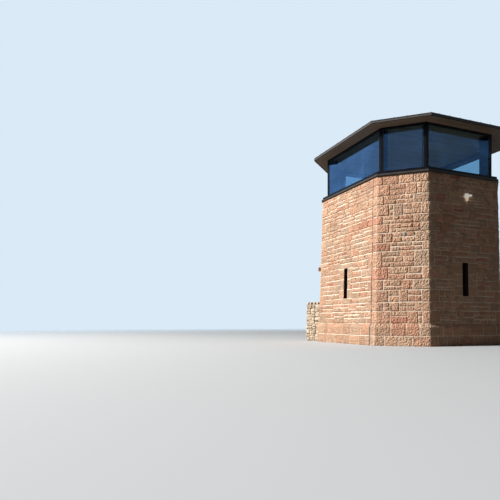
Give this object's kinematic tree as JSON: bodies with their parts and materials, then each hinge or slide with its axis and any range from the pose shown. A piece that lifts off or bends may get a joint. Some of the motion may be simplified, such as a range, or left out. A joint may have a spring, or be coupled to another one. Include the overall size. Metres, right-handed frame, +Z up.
{
  "type": "observation tower",
  "caption": "Stone lookout tower on an oblong eight-sided plan, with slit windows, a glazed lookout room and a shallow overhanging roof.",
  "frame": {"origin": "middle of the plan at the foot of the walls", "axes": "+Z up; +X east along the short side of the plan, +Y north along the long side; the doorway is in the +Y face and the picture looks from -X and -Y"},
  "size_m": [6.316, 7.316, 8.269],
  "materials": {
    "sandstone": "coursed squared rubble, rough",
    "dressed_stone": "dressed, fine",
    "rubble": "random rubble, rough",
    "concrete": "trowelled concrete",
    "dark_metal": "satin dark paint",
    "slit_glass": "clear",
    "door_timber": "stained boards",
    "handle_steel": "brushed",
    "grey_metal": "satin grey",
    "lookout_glass": "clear with a blue tint",
    "boards": "oiled boards",
    "fascia_metal": "satin grey",
    "deck_timber": "sawn boards",
    "roof_metal": "matt grey sheet",
    "lamp_white": "matt white",
    "lamp_cream": "matt cream",
    "rusty_iron": "rusty",
    "tape_metal": "dull"
  },
  "bodies": {
    "root": {"plinth": "sandstone", "south_wall": "sandstone", "southeast_wall": "sandstone", "east_wall": "sandstone", "northeast_wall": "sandstone", "north_wall": "sandstone", "northwest_wall": "sandstone", "west_wall": "sandstone", "southwest_wall": "sandstone", "door_lintel": "dressed_stone", "door_threshold": "dressed_stone", "rubble_wall": "rubble", "cope_stones": "rubble", "ground_floor": "concrete", "lookout_floor": "concrete", "slit_frames": "dark_metal", "slit_panes": "slit_glass", "door_frame": "door_timber", "door_leaf": "door_timber", "door_handle": "handle_steel", "coping": "grey_metal", "sill_rail": "dark_metal", "head_beam": "dark_metal", "corner_posts": "dark_metal", "blade_columns": "dark_metal", "glass_panes": "lookout_glass", "soffit": "boards", "ceiling": "boards", "fascia": "fascia_metal", "roof_deck": "deck_timber", "roof_sheet": "roof_metal", "crown_cap": "roof_metal", "hip_rolls": "roof_metal", "lamp_plate": "lamp_white", "lamp_hood": "lamp_white", "lamp_bowl": "lamp_cream", "lamp_sensor": "lamp_white", "bracket_lamp_arm": "rusty_iron", "bracket_lamp": "rusty_iron", "lightning_tape": "tape_metal", "tape_clips": "tape_metal"}
  },
  "joints": []
}
